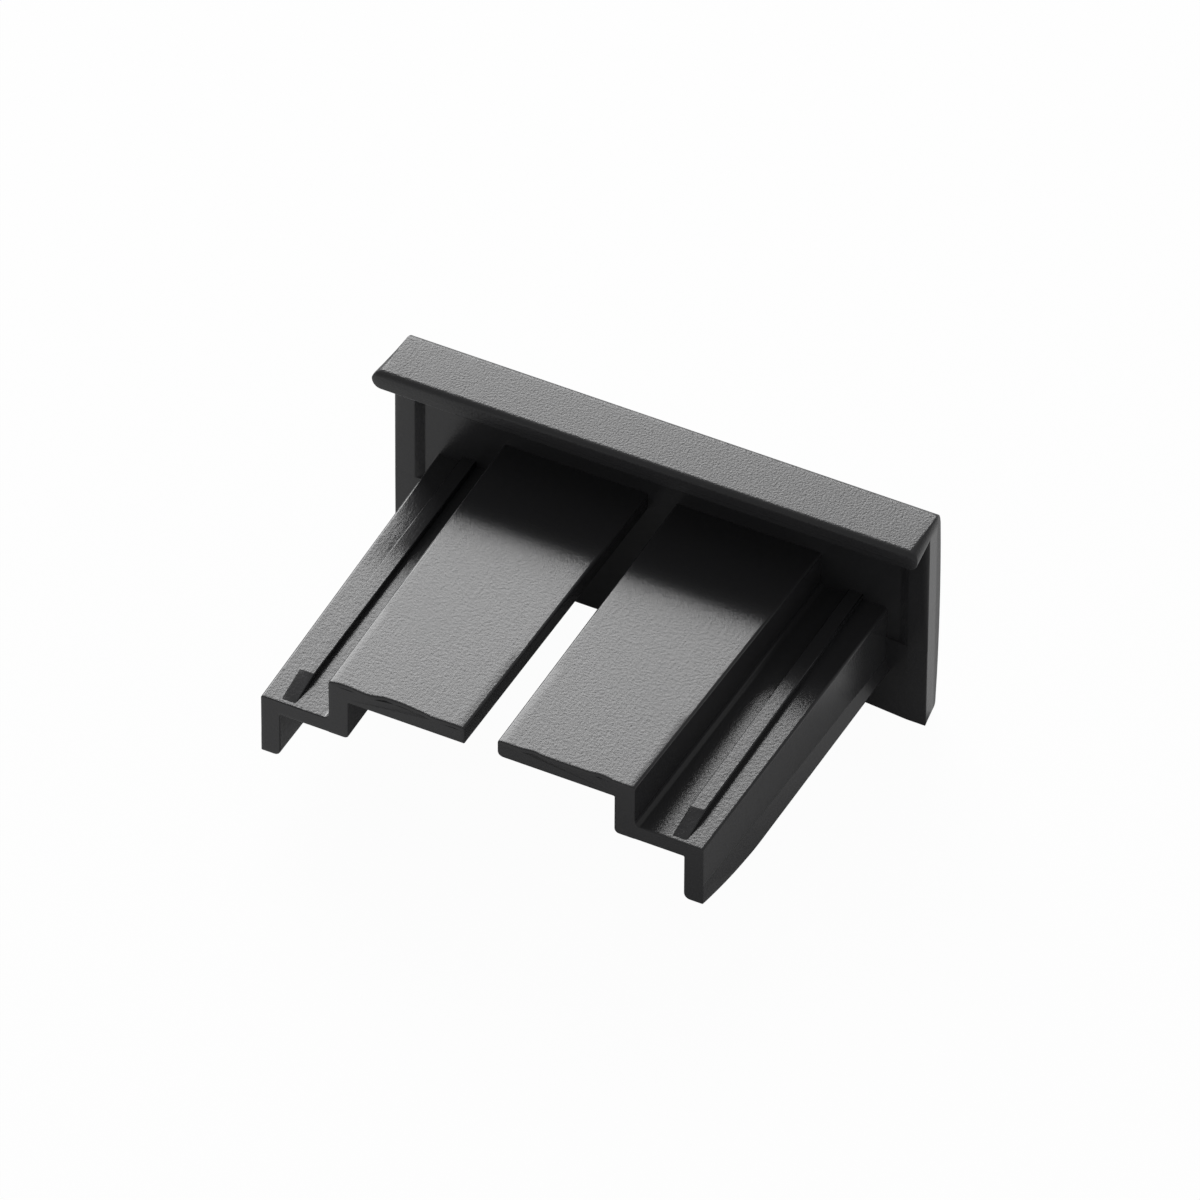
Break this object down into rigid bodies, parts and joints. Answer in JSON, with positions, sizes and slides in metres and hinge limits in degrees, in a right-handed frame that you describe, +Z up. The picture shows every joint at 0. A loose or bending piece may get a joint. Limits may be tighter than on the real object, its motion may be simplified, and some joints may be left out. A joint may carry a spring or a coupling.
{
  "type": "tube end cap",
  "caption": "Moulded end cap for a flat tube: a plate with an overhanging lip and two stepped legs with snap ridges.",
  "frame": {"origin": "level with the plate's bottom edge, under the middle of the cap's bounding box", "axes": "+X along the cap, +Y out of the tube, +Z up; the legs point along -Y"},
  "size_m": [0.0408, 0.0284, 0.0175],
  "materials": {
    "body": "near-black, semi-gloss, with a fine grain on the lip"
  },
  "bodies": {
    "root": {"end_cap": "body"}
  },
  "joints": []
}
